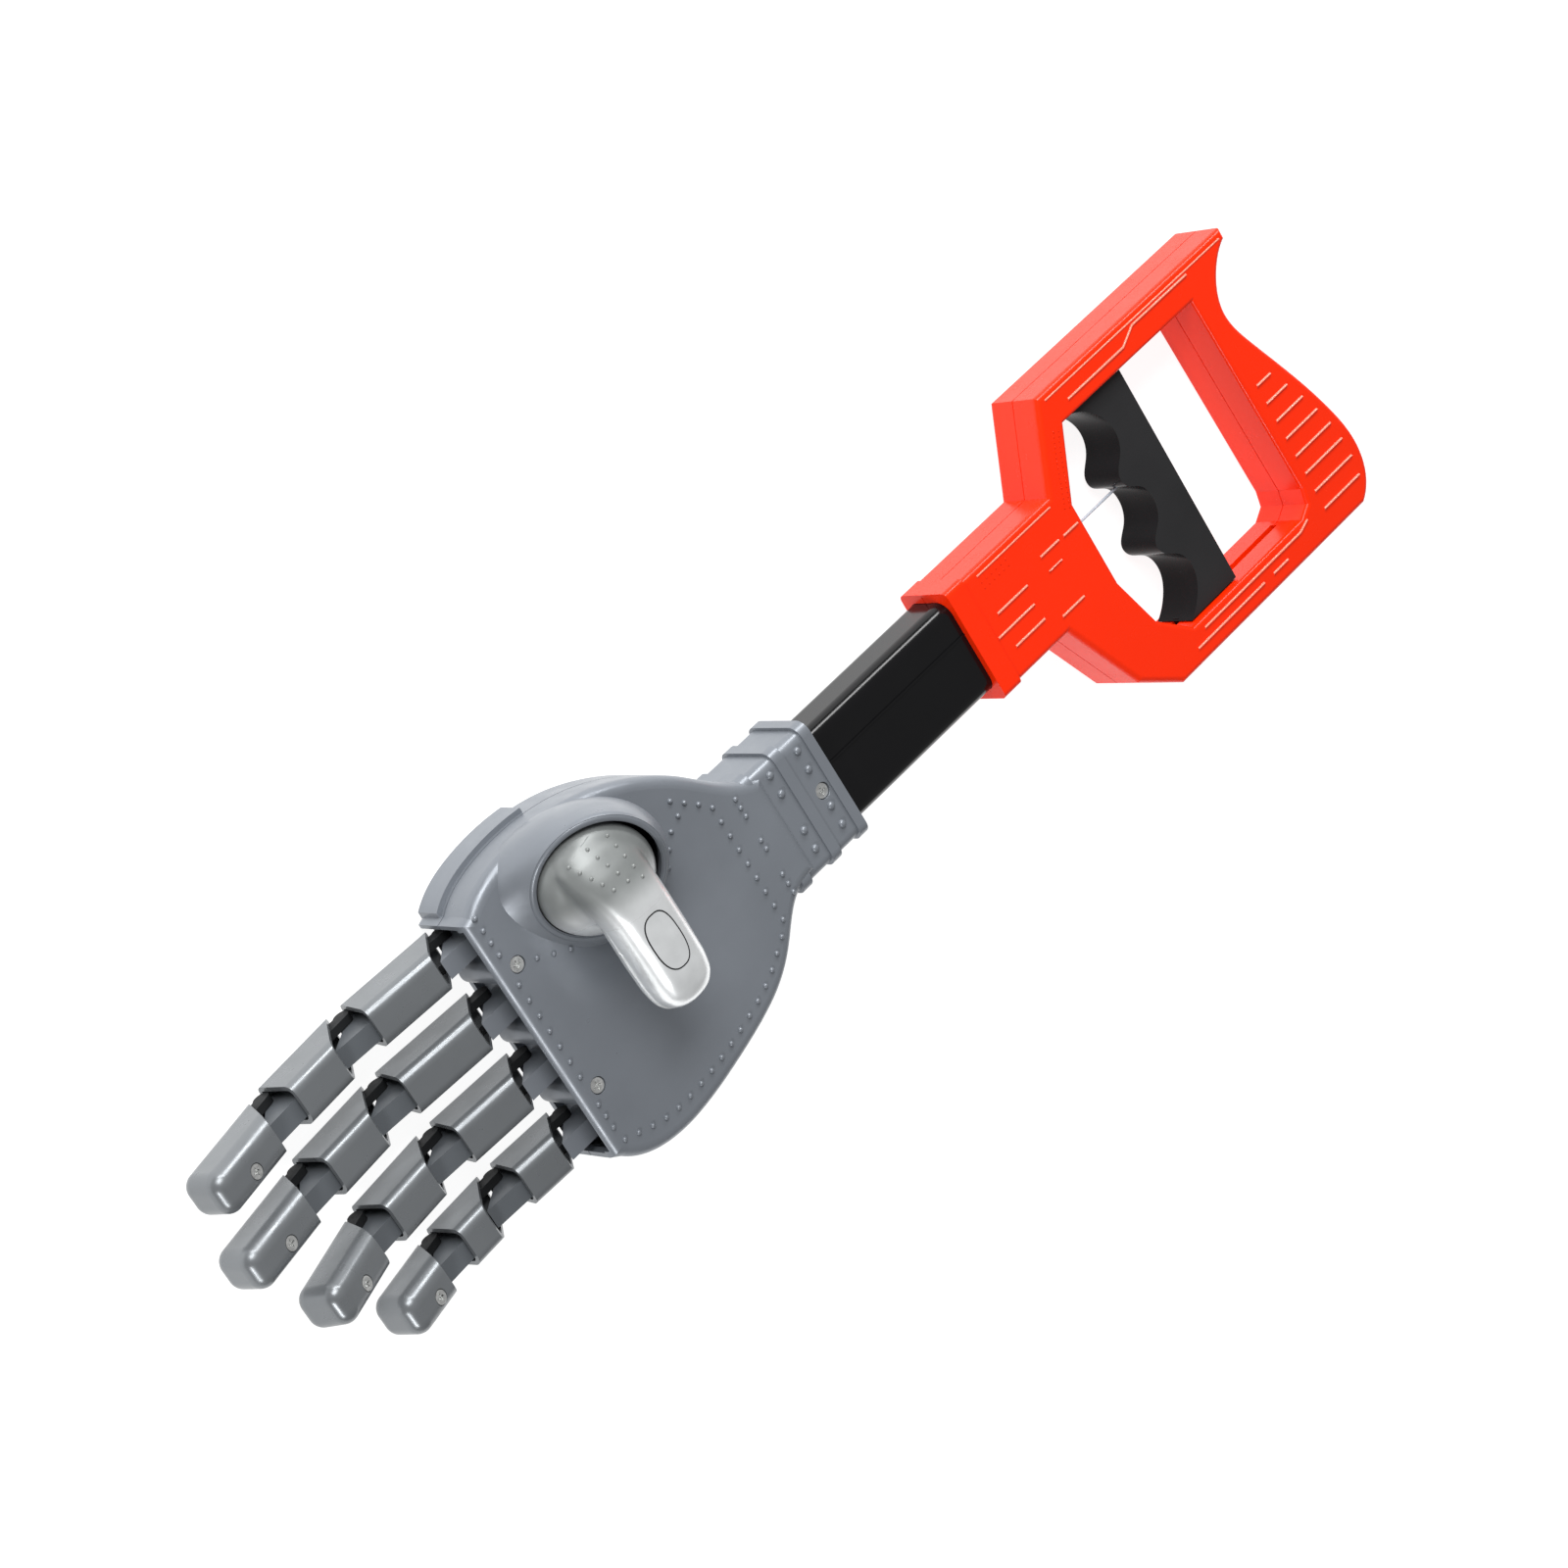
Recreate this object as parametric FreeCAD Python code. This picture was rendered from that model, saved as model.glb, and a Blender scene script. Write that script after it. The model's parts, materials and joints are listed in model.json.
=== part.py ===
import FreeCAD, Part
import math
import os

from FreeCAD import Matrix, Placement, Rotation, Vector

# Toy robot hand on a pistol-style frame handle. A squeeze of the finger grip pulls a cord
# through the arm tube and curls four jointed fingers towards a thumb that swivels
# in its round socket.
# +X runs from the handle to the fingertips, +Y towards the little finger, +Z out of the palm.
# The object lies on its back, so the back of the handle and of the palm are at z = 0.

# ---- driving dimensions, mm ----
# The drawing origin is on the tube's line; CENTRE moves the finished object over its own box.
CENTRE_X = 1.75
CENTRE_Y = 1.15

HANDLE_DEPTH = 21.0
HANDLE_WALL = 2.2
HANDLE_ROUND = 1.8
OPENING_ROUND = 1.3
SEAM_DEPTH = 0.5
SEAM_HALF = 0.16

TUBE_WIDTH = 29.6
TUBE_DEPTH = 17.4
TUBE_CORNER = 4.2
TUBE_WALL = 1.6
TUBE_Y = 0.3
TUBE_Z = 10.6
TUBE_START = -90.0
TUBE_END = 15.0
TUBE_FIT = 0.1

TRIGGER_LOW = 3.0
TRIGGER_HIGH = 18.0
RAIL_LOW = 9.4
RAIL_HIGH = 11.6
CORD_RADIUS = 0.4
CORD_Z = 10.5
CORD_START = -146.0

WRIST_Y = -1.2
WRIST_HALF = 17.7
WRIST_LOW = 0.5
WRIST_HIGH = 23.0
WRIST_START = -2.0
PALM_DEPTH = 24.0
PALM_SEAM = 12.0
PALM_WALL = 2.0
PALM_ROUND = 3.4
PALM_FRONT_END = 114.3
PALM_BACK_END = 110.3

THUMB_CENTRE = Vector(80.0, -31.8, 34.6)
THUMB_AXIS = Vector(0.40, 0.31, 0.86)
THUMB_BORE = 17.1
THUMB_PLUG = 16.5

KNUCKLE_X = 112.5
KNUCKLE_Z = 7.0
PIN_RADIUS = 1.0
PIN_FIT = 0.04
FINGER_WIDTH = 12.0
FINGER_BACK = -3.0
FINGER_FRONT = 12.0
FINGER_WALL = 1.3
SHELL_BACK_START = 2.0
SHELL_END_GAP = 2.2
LINK_BOTTOM = FINGER_BACK + FINGER_WALL + 0.05
TONGUE_LEFT = -2.0
TONGUE_RIGHT = 3.6
TONGUE_TOP = 10.2
TONGUE_REACH = 10.0
EAR_INNER_LEFT = -2.2
EAR_INNER_RIGHT = 3.8
EAR_OUTER = 4.45
EAR_RADIUS = 2.3
LINK_BODY_START = 15.6

# name, y, tilt of each segment above the palm plane in degrees, and its length pin to pin
FINGERS = (
    ("index", -35.5, (-5.0, 7.0, 17.0), (34.3, 31.9, 36.5)),
    ("middle", -15.5, (-5.0, 8.0, 17.0), (36.8, 33.0, 37.6)),
    ("ring", 4.5, (-4.0, 9.0, 26.0), (32.4, 32.0, 35.7)),
    ("pinky", 24.5, (-4.0, 5.0, 18.0), (25.2, 25.1, 29.1)),
)
# distance from each pin to the front edge of the shell that it carries
FRONT_START = (10.3, 14.0, 12.0)
SEGMENTS = ("proximal", "middle", "tip")

X_AXIS = Vector(1, 0, 0)
Y_AXIS = Vector(0, 1, 0)
Z_AXIS = Vector(0, 0, 1)


def box(x0, x1, y0, y1, z0, z1):
    return Part.makeBox(x1 - x0, y1 - y0, z1 - z0, Vector(x0, y0, z0))


def rod(radius, start, direction, length):
    return Part.makeCylinder(radius, length, start, direction)


def union(shapes):
    result = shapes[0]
    if len(shapes) > 1:
        result = shapes[0].fuse(list(shapes[1:]))
    return result.removeSplitter()


def outline(start, steps):
    """Closed wire in the XY plane. A step is one point for a line or a list for a smooth curve."""
    edges = []
    here = Vector(start[0], start[1], 0)
    for step in steps:
        if isinstance(step, list):
            points = [here] + [Vector(x, y, 0) for x, y in step]
            curve = Part.BSplineCurve()
            curve.interpolate(points)
            edges.append(curve.toShape())
            here = points[-1]
        else:
            there = Vector(step[0], step[1], 0)
            edges.append(Part.LineSegment(here, there).toShape())
            here = there
    return Part.Wire(edges)


def slab(face, z0, z1):
    plate = face.copy()
    plate.translate(Vector(0, 0, z0))
    return plate.extrude(Vector(0, 0, z1 - z0))


def plain_wire(wire):
    """The same closed loop made of lines and interpolated curves only."""
    edges = []
    for edge in wire.OrderedEdges:
        if isinstance(edge.Curve, Part.Line):
            edges.append(edge)
        else:
            curve = Part.BSplineCurve()
            curve.interpolate(edge.discretize(max(6, int(edge.Length / 4.0))))
            edges.append(curve.toShape())
    return Part.Wire(edges)


def inset(face, distance):
    offset = face.makeOffset2D(-distance, join=0)
    loops = [plain_wire(wire) for wire in offset.Wires]
    return Part.makeFace(loops, "Part::FaceMakerBullseye")


def round_rim(solid, radius, keep):
    """Fillets the edges that lie in one horizontal plane and pass the test."""
    edges = [edge for edge in solid.Edges if keep(edge)]
    return solid.makeFillet(radius, edges)


def in_plane(edge, z):
    bounds = edge.BoundBox
    return abs(bounds.ZMin - z) < 1e-4 and abs(bounds.ZMax - z) < 1e-4


def seam_groove(face, level):
    """A shallow groove round the outside of a face where two moulded halves meet."""
    ring = face.cut(inset(face, SEAM_DEPTH))
    return slab(ring, level - SEAM_HALF, level + SEAM_HALF)


def rounded_bar(x0, x1, y0, y1, z0, z1, radius):
    """A bar along X with its four long edges rounded."""
    bar = box(x0, x1, y0, y1, z0, z1)
    edges = [edge for edge in bar.Edges if abs(edge.tangentAt(edge.FirstParameter).x) > 0.99]
    return bar.makeFillet(radius, edges)


def screw(head, direction, length, shaft_radius=1.25, head_radius=2.1, head_height=1.6):
    """A pan-head screw whose head starts at the point and whose shaft runs along the direction."""
    cap = rod(head_radius, head, direction, head_height)
    shaft = rod(shaft_radius, head, direction, length)
    solid = cap.fuse(shaft).removeSplitter()
    slot_one = Part.makeBox(0.45, 2.4, 0.7, Vector(-0.225, -1.2, 0))
    slot_two = Part.makeBox(2.4, 0.45, 0.7, Vector(-1.2, -0.225, 0))
    cross = slot_one.fuse(slot_two)
    cross.Placement = Placement(head, Rotation(Z_AXIS, direction))
    return solid.cut(cross)


# ---- handle ----
handle_face = Part.Face(outline((-120.7, -41.0), [
    (-206.0, -41.0),
    (-206.0, -37.5),
    [(-197.6, -31.0), (-193.3, -21.5), (-196.6, -8.5), (-204.2, 8.5), (-210.2, 24.5),
     (-212.7, 38.5), (-210.4, 48.0), (-204.5, 54.1)],
    (-117.0, 54.1),
    (-103.5, 44.0),
    (-91.4, 17.4),
    (-62.0, 17.4),
    (-62.0, -16.6),
    (-107.6, -16.6),
    (-120.7, -41.0),
]))
opening_face = Part.Face(outline((-125.0, -30.0), [
    (-184.5, -30.0),
    (-186.5, 36.5),
    (-185.4, 41.0),
    (-181.0, 43.5),
    (-129.0, 43.5),
    (-119.0, 34.0),
    (-114.0, 17.0),
    (-114.0, -10.0),
    (-125.0, -30.0),
]))


def handle_body():
    outer = slab(handle_face, 0, HANDLE_DEPTH)
    outer = round_rim(outer, HANDLE_ROUND, lambda e: in_plane(e, 0) or in_plane(e, HANDLE_DEPTH))
    lip = box(-69.0, -62.0, -17.4, 18.2, 0.6, HANDLE_DEPTH + 0.5)
    lip_edges = [edge for edge in lip.Edges if abs(edge.tangentAt(0).x) > 0.99]
    outer = outer.fuse(lip.makeFillet(1.8, lip_edges))
    hole = slab(opening_face, 0, HANDLE_DEPTH)
    body = outer.cut(hole)
    rim = []
    for edge in body.Edges:
        bounds = edge.BoundBox
        flat = in_plane(edge, 0) or in_plane(edge, HANDLE_DEPTH)
        inside = bounds.XMin > -187 and bounds.XMax < -113.5 and bounds.YMin > -30.5 and bounds.YMax < 44
        if flat and inside:
            rim.append(edge)
    return body.makeFillet(OPENING_ROUND, rim)


def handle_cavity():
    ring = handle_face.cut(opening_face).Faces[0]
    return slab(inset(ring, HANDLE_WALL), HANDLE_WALL, HANDLE_DEPTH - HANDLE_WALL)


HANDLE_SCREWS = ((-190.5, -35.6), (-118.0, -26.5), (-199.0, 34.0), (-111.0, 42.0), (-98.0, 9.5), (-98.0, -9.0))


def tube_bar(x0, x1, grow):
    half_y = TUBE_WIDTH / 2 + grow
    half_z = TUBE_DEPTH / 2 + grow
    return rounded_bar(x0, x1, TUBE_Y - half_y, TUBE_Y + half_y, TUBE_Z - half_z, TUBE_Z + half_z,
                       TUBE_CORNER + grow)


def make_handle():
    shell = handle_body().cut(handle_cavity())
    bosses = [rod(3.3, Vector(x, y, 1.0), Z_AXIS, HANDLE_DEPTH - 2.0) for x, y in HANDLE_SCREWS]
    shell = union([shell] + bosses)
    tools = [tube_bar(TUBE_START - 0.1, -60.0, TUBE_FIT)]
    tools.append(box(-179.0, -130.0, -36.0, -29.0, RAIL_LOW - 0.35, RAIL_HIGH + 0.35))
    tools.append(box(-179.0, -130.0, 42.5, 49.5, RAIL_LOW - 0.35, RAIL_HIGH + 0.35))
    tools.append(rod(2.0, Vector(-117.0, 0, CORD_Z), X_AXIS, 30.0))
    for x, y in HANDLE_SCREWS:
        tools.append(rod(2.4, Vector(x, y, -1.0), Z_AXIS, 4.0))
        tools.append(rod(1.3, Vector(x, y, 0), Z_AXIS, 17.0))
    tools.append(seam_groove(handle_face, HANDLE_DEPTH / 2))
    mouth = slab(inset(opening_face, -SEAM_DEPTH).cut(opening_face), HANDLE_DEPTH / 2 - SEAM_HALF,
                 HANDLE_DEPTH / 2 + SEAM_HALF)
    tools.append(mouth)
    shell = shell.cut(tools)
    front = shell.common(box(-230, -50, -60, 70, HANDLE_DEPTH / 2, 30))
    back = shell.common(box(-230, -50, -60, 70, -5, HANDLE_DEPTH / 2))
    return front, back


def make_trigger():
    rear = -152.5
    grip = Part.Face(outline((rear, -29.5), [
        (rear, 43.0),
        (-131.5, 43.0),
        [(-137.5, 38.5), (-141.0, 31.5), (-139.3, 25.3), (-134.2, 20.9), (-133.6, 18.3),
         (-138.2, 13.3), (-140.8, 7.2), (-139.3, 1.8), (-134.6, -2.2), (-134.3, -5.0),
         (-138.6, -10.2), (-140.8, -16.8), (-137.5, -24.5), (-129.5, -29.5)],
        (rear, -29.5),
    ]))
    body = slab(grip, TRIGGER_LOW, TRIGGER_HIGH)
    rails = box(rear + 1.0, -132.0, -34.5, 48.0, RAIL_LOW, RAIL_HIGH)
    window = box(rear, -130.0, -29.0, 42.5, RAIL_LOW - 1, RAIL_HIGH + 1)
    bore = rod(CORD_RADIUS, Vector(CORD_START, 0, CORD_Z), X_AXIS, 20.0)
    return union([body, rails.cut(window)]).cut(bore)


def make_tube():
    outer = tube_bar(TUBE_START, TUBE_END, 0)
    inner = tube_bar(TUBE_START - 1, TUBE_END + 1, -TUBE_WALL)
    rib = box(-62.0, -2.0, -4.2, -3.6, TUBE_Z + TUBE_DEPTH / 2 - 0.3, TUBE_Z + TUBE_DEPTH / 2 + 0.3)
    bore = rod(1.25, Vector(4.0, -1.0, 30.0), Vector(0, 0, -1), 14.0)
    return outer.fuse(rib).cut([inner, bore])


def make_pull_cord():
    return rod(CORD_RADIUS, Vector(CORD_START, 0, CORD_Z), X_AXIS, 60.1 - CORD_START)


def make_spring():
    turns = 11
    length = 44.0
    path = Part.makeHelix(length / turns, length, 3.8)
    section = Part.Wire([Part.makeCircle(0.4, Vector(3.8, 0, 0), Y_AXIS)])
    coil = Part.Wire(path.Edges).makePipeShell([section], True, True)
    coil.rotate(Vector(0, 0, 0), Y_AXIS, 90)
    coil.translate(Vector(-85.6, 0, CORD_Z))
    return coil


def make_spring_seat():
    plate = tube_bar(-92.4, -90.1, -1.0)
    nose = rod(3.2, Vector(-90.1, 0, CORD_Z), X_AXIS, 4.0)
    bore = rod(1.2, Vector(-95.0, 0, CORD_Z), X_AXIS, 12.0)
    return plate.fuse(nose).removeSplitter().cut(bore)


def make_cord_bushing():
    collar = rod(2.0, Vector(-114.2, 0, CORD_Z), X_AXIS, 4.0)
    flange = rod(2.7, Vector(-115.0, 0, CORD_Z), X_AXIS, 0.8)
    bore = rod(0.9, Vector(-116.0, 0, CORD_Z), X_AXIS, 8.0)
    return collar.fuse(flange).removeSplitter().cut(bore)


def make_cord_ferrule():
    bead = rod(2.6, Vector(-43.0, 0, CORD_Z), X_AXIS, 5.0)
    return bead.cut(rod(CORD_RADIUS, Vector(-50.0, 0, CORD_Z), X_AXIS, 20.0))


def make_cord_yoke():
    bar = rounded_bar(56.0, 62.0, -16.0, 14.0, CORD_Z - 2.0, CORD_Z + 2.0, 1.2)
    tools = [rod(CORD_RADIUS, Vector(50.0, 0, CORD_Z), X_AXIS, 10.1)]
    for y in (-13.0, -5.5, 3.5, 11.0):
        tools.append(rod(0.6, Vector(50.0, y, CORD_Z), X_AXIS, 20.0))
    return bar.cut(tools)


# ---- palm ----
palm_face = Part.Face(outline((18.0, -17.0), [
    [(27.0, -21.6), (38.0, -32.2), (50.0, -41.0), (65.0, -47.6), (82.0, -50.4), (97.0, -49.6),
     (106.0, -47.2), (111.5, -44.0)],
    (PALM_FRONT_END, -43.2),
    (PALM_FRONT_END, 33.2),
    (111.5, 35.0),
    [(106.0, 39.0), (95.0, 41.9), (82.0, 41.4), (68.0, 38.7), (55.0, 35.2), (45.0, 31.0),
     (36.5, 24.6), (29.0, 17.6), (18.0, 14.6)],
    (18.0, -17.0),
]))
PALM_SCREWS = ((107.2, -25.5), (107.2, 14.5))
BACK_SCREWS = ((40.0, -24.0), (40.0, 20.0))


def shoulder_pads():
    """Raised pads on the back half at its index and little finger corners."""
    grown = slab(inset(palm_face, -1.4), 1.6, 10.6)
    index_pad = grown.common(box(76.0, 112.0, -60.0, -38.0, 0, 12))
    little_pad = grown.common(box(79.0, 92.0, 30.0, 60.0, 0, 12))
    return [index_pad, little_pad]


def wrist_block():
    core = rounded_bar(WRIST_START, 26.0, WRIST_Y - WRIST_HALF, WRIST_Y + WRIST_HALF, WRIST_LOW,
                       WRIST_HIGH, 3.2)
    bands = []
    for start, end in ((WRIST_START, 1.2), (9.0, 12.4), (21.2, 24.6)):
        band = rounded_bar(start, end, WRIST_Y - WRIST_HALF - 1.0, WRIST_Y + WRIST_HALF + 1.0,
                           WRIST_LOW - 0.4, WRIST_HIGH + 0.5, 3.6)
        bands.append(band)
    return union([core] + bands)


HOOD_FOOT = Vector(79.0, -31.4, 19.0)
HOOD_MAJOR = 28.5
HOOD_MINOR = 18.6
HOOD_RIM = THUMB_BORE + 1.9
HOOD_BULGE = 1.0


def hood_section(share, grow, top):
    """One closed section of the hood, from its oval foot at share 0 to the round rim at share 1."""
    axis = (Z_AXIS * (1 - share) + Vector(THUMB_AXIS).normalize() * share).normalize()
    rim = THUMB_CENTRE + Vector(THUMB_AXIS).normalize() * top
    centre = HOOD_FOOT * (1 - share) + rim * share
    bulge = HOOD_BULGE * math.sin(math.pi * share) + grow
    major = HOOD_MAJOR * (1 - share) + HOOD_RIM * share + bulge
    minor = HOOD_MINOR * (1 - share) + (HOOD_RIM - 0.01) * share + bulge
    ellipse = Part.Ellipse(Vector(0, 0, 0), major, minor).toShape()
    turn = Rotation(Z_AXIS, axis).multiply(Rotation(Z_AXIS, -15))
    ellipse.Placement = Placement(centre, turn)
    return Part.Wire([ellipse])


def hood(grow, top):
    return Part.makeLoft([hood_section(share, grow, top) for share in (0, 0.35, 0.7, 1)], True, False)


def palm_solid():
    body = slab(palm_face, 0, PALM_DEPTH)
    return round_rim(body, PALM_ROUND, lambda e: in_plane(e, 0) or in_plane(e, PALM_DEPTH))


def palm_cavity():
    room = slab(inset(palm_face, PALM_WALL), PALM_WALL, PALM_DEPTH - PALM_WALL)
    mouth = box(108.0, 120.0, -41.2, 31.2, PALM_WALL, PALM_DEPTH - PALM_WALL)
    back_edge = box(PALM_BACK_END, 120.0, -42.0, 31.7, -1, PALM_DEPTH - 4.0)
    return room.fuse([mouth, back_edge])


def make_hand():
    outer = union([palm_solid(), wrist_block()])
    seam = PALM_SEAM
    front = outer.common(box(-10, 130, -70, 60, seam, 40)).fuse(hood(0, 0)).removeSplitter()
    axis = Vector(THUMB_AXIS).normalize()
    bore = rod(THUMB_BORE, THUMB_CENTRE - axis * 7.0, axis, 47.0)
    groove = rod(THUMB_PLUG + 1.3, THUMB_CENTRE - axis * 4.9, axis, 2.8)
    hollow = [palm_cavity(), tube_bar(-5, TUBE_END + 0.1, TUBE_FIT), tube_bar(TUBE_END, 40, -TUBE_WALL)]
    front = front.cut(hollow + [hood(-2.4, -2.2), bore, groove])
    groove_ring = seam_groove(palm_face, seam)
    front = front.cut(groove_ring)
    back = union([outer.common(box(-10, 130, -70, 60, -5, seam))] + shoulder_pads())
    back = back.cut(hollow + [groove_ring])
    screw_tools = []
    for x, y in PALM_SCREWS:
        screw_tools.append(rod(2.4, Vector(x, y, PALM_DEPTH + 1), Vector(0, 0, -1), 2.3))
        screw_tools.append(rod(1.3, Vector(x, y, PALM_DEPTH + 1), Vector(0, 0, -1), 5.0))
    wrist_tools = [rod(2.4, Vector(4.0, -1.0, 26.0), Vector(0, 0, -1), 5.2)]
    wrist_tools.append(rod(1.3, Vector(4.0, -1.0, 26.0), Vector(0, 0, -1), 12.0))
    front = front.cut(screw_tools + wrist_tools)
    posts = [rod(3.4, Vector(x, y, 1.0), Z_AXIS, seam - 1.0) for x, y in BACK_SCREWS]
    caps = [rod(3.4, Vector(x, y, seam), Z_AXIS, PALM_DEPTH - 1.0 - seam) for x, y in BACK_SCREWS]
    back_tools = []
    for x, y in BACK_SCREWS:
        back_tools.append(rod(2.4, Vector(x, y, -1), Z_AXIS, 4.0))
        back_tools.append(rod(1.3, Vector(x, y, 0), Z_AXIS, 17.0))
    back = union([back] + posts).cut(back_tools)
    front = union([front] + caps).cut(back_tools)
    return front, back


def make_root_block():
    body = box(97.0, 108.0, -40.8, 30.8, PALM_WALL, PALM_DEPTH - PALM_WALL)
    pieces = [body]
    for x, y in ((107.2, -25.5), (107.2, -5.5), (107.2, 14.5)):
        pieces.append(rod(3.7, Vector(x + 2.6, y, 4.5), Z_AXIS, PALM_DEPTH - 4.5 - PALM_WALL - 0.1))
    for name, y, tilts, lengths in FINGERS:
        tongue = tongue_plate(-8.0, 9.0, 10.0)
        tongue.translate(Vector(KNUCKLE_X, y, KNUCKLE_Z))
        pieces.append(tongue)
    block = union(pieces)
    tools = []
    for x, y in PALM_SCREWS:
        tools.append(rod(1.25, Vector(x, y, 10.0), Z_AXIS, 20.0))
    for name, y, tilts, lengths in FINGERS:
        tools.append(rod(PIN_RADIUS, Vector(KNUCKLE_X, y - 6, KNUCKLE_Z), Y_AXIS, 12.0))
    return block.cut(tools)


# ---- fingers ----
# A segment is drawn with its own pin at the origin, X along the segment and Z out of the palm.
def tongue_plate(start, reach, top):
    """The tongue that reaches past a pin at the origin, slanted so that the next shell clears it."""
    side = Part.Face(outline((start, LINK_BOTTOM), [
        (0.0, LINK_BOTTOM - 0.5),
        (1.6, 1.6),
        (reach, top),
        (start, top),
        (start, LINK_BOTTOM),
    ]))
    plate = side.extrude(Vector(0, 0, TONGUE_RIGHT - TONGUE_LEFT))
    plate.rotate(Vector(0, 0, 0), X_AXIS, 90)
    plate.translate(Vector(0, TONGUE_RIGHT, 0))
    eye = rod(EAR_RADIUS, Vector(0, TONGUE_LEFT, 0), Y_AXIS, TONGUE_RIGHT - TONGUE_LEFT)
    plate = plate.fuse(eye).removeSplitter()
    floor = box(start - 1, 0, -9, 9, -9, LINK_BOTTOM)
    return plate.cut(floor)


def finger_profile(wall, start_back, start_front, end):
    """Side view of a shell, slanted at its near end, set back by the wall on its two long sides."""
    slope = (start_front - start_back) / (FINGER_FRONT - FINGER_BACK)
    low = FINGER_BACK + wall
    high = FINGER_FRONT - wall
    points = [(start_back + slope * wall, low), (end, low), (end, high),
              (start_front - slope * wall, high)]
    return [Vector(x, 0, z) for x, z in points]


def shell_prism(points, half):
    face = Part.Face(Part.makePolygon(points + [points[0]]))
    face.translate(Vector(0, -half, 0))
    return face.extrude(Vector(0, 2 * half, 0))


def long_edges(solid, z):
    found = []
    for edge in solid.Edges:
        bounds = edge.BoundBox
        level = abs(bounds.ZMin - z) < 1e-4 and abs(bounds.ZMax - z) < 1e-4
        if level and abs(edge.tangentAt(edge.FirstParameter).x) > 0.99:
            found.append(edge)
    return found


def make_shell(front_start, end):
    half = FINGER_WIDTH / 2
    outer = shell_prism(finger_profile(0, SHELL_BACK_START, front_start, end), half)
    outer = outer.makeFillet(3.0, long_edges(outer, FINGER_FRONT))
    outer = outer.makeFillet(1.8, long_edges(outer, FINGER_BACK))
    inner = shell_prism(finger_profile(FINGER_WALL, SHELL_BACK_START - 4, front_start - 4, end + 2),
                        half - FINGER_WALL)
    inner = inner.makeFillet(1.7, long_edges(inner, FINGER_FRONT - FINGER_WALL))
    return outer.cut(inner)


def make_tip_shell(front_start, end):
    half = FINGER_WIDTH / 2
    profile = finger_profile(0, SHELL_BACK_START, front_start, end)
    profile[1] = Vector(end - 2.0, 0, FINGER_BACK)
    outer = shell_prism(profile, half)
    nose = []
    for edge in outer.Edges:
        bounds = edge.BoundBox
        if bounds.XMin > end - 2.5 or (bounds.XMax > end - 2.5 and abs(bounds.YMax - bounds.YMin) < 0.01):
            nose.append(edge)
    outer = outer.makeFillet(4.2, nose)
    inner = shell_prism(finger_profile(FINGER_WALL, SHELL_BACK_START - 4, front_start - 4, end - 8.0),
                        half - FINGER_WALL)
    return outer.cut([inner] + tip_screw_tools(end))


TIP_SCREW_Y = 1.6


def tip_screw_x(length):
    """How far the tip's screw is from its pin: less on the short little finger."""
    return 23.2 if length > 33.0 else 17.6


def tip_screw_tools(length):
    x = tip_screw_x(length)
    recess = rod(2.2, Vector(x, TIP_SCREW_Y, FINGER_FRONT + 1), Vector(0, 0, -1), 1.8)
    bore = rod(1.1, Vector(x, TIP_SCREW_Y, FINGER_FRONT + 1), Vector(0, 0, -1), 10.0)
    return [recess, bore]


def make_link(length, last):
    ears = []
    for y0, y1 in ((-EAR_OUTER, EAR_INNER_LEFT), (EAR_INNER_RIGHT, EAR_OUTER)):
        ears.append(rod(EAR_RADIUS, Vector(0, y0, 0), Y_AXIS, y1 - y0))
        ears.append(box(0, LINK_BODY_START + 1.5, y0, y1, LINK_BOTTOM, EAR_RADIUS))
    bridge = box(LINK_BODY_START, LINK_BODY_START + 2.5, -EAR_OUTER, EAR_OUTER, LINK_BOTTOM, 5.0)
    pieces = ears + [bridge]
    if last:
        pieces.append(box(LINK_BODY_START, length - 9.0, -2.5, EAR_OUTER, LINK_BOTTOM, TONGUE_TOP))
    else:
        tongue = tongue_plate(LINK_BODY_START - length, TONGUE_REACH, TONGUE_TOP)
        tongue.translate(Vector(length, 0, 0))
        pieces.append(tongue)
    link = union(pieces)
    tools = [rod(PIN_RADIUS + PIN_FIT, Vector(0, -8, 0), Y_AXIS, 16)]
    if last:
        tools.append(rod(0.96, Vector(tip_screw_x(length), TIP_SCREW_Y, 3.0), Z_AXIS, 12.0))
    else:
        tools.append(rod(PIN_RADIUS, Vector(length, -8, 0), Y_AXIS, 16))
    return link.cut(tools)


def make_pin():
    return rod(PIN_RADIUS, Vector(0, -EAR_OUTER, 0), Y_AXIS, 2 * EAR_OUTER)


def make_tip_screw(length):
    head = Vector(tip_screw_x(length), TIP_SCREW_Y, FINGER_FRONT - 0.1)
    return screw(head, Vector(0, 0, -1), 8.0, 0.95, 1.95, 0.7)


def segment_frames(y, tilts, lengths):
    """The placement of each segment, from the knuckle to the tip."""
    frames = []
    x = KNUCKLE_X
    z = KNUCKLE_Z
    for tilt, length in zip(tilts, lengths):
        frames.append(Placement(Vector(x, y, z), Rotation(Y_AXIS, -tilt)))
        x += length * math.cos(math.radians(tilt))
        z += length * math.sin(math.radians(tilt))
    return frames


def placed(shape, frame):
    shape.Placement = frame.multiply(shape.Placement)
    return shape


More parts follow.
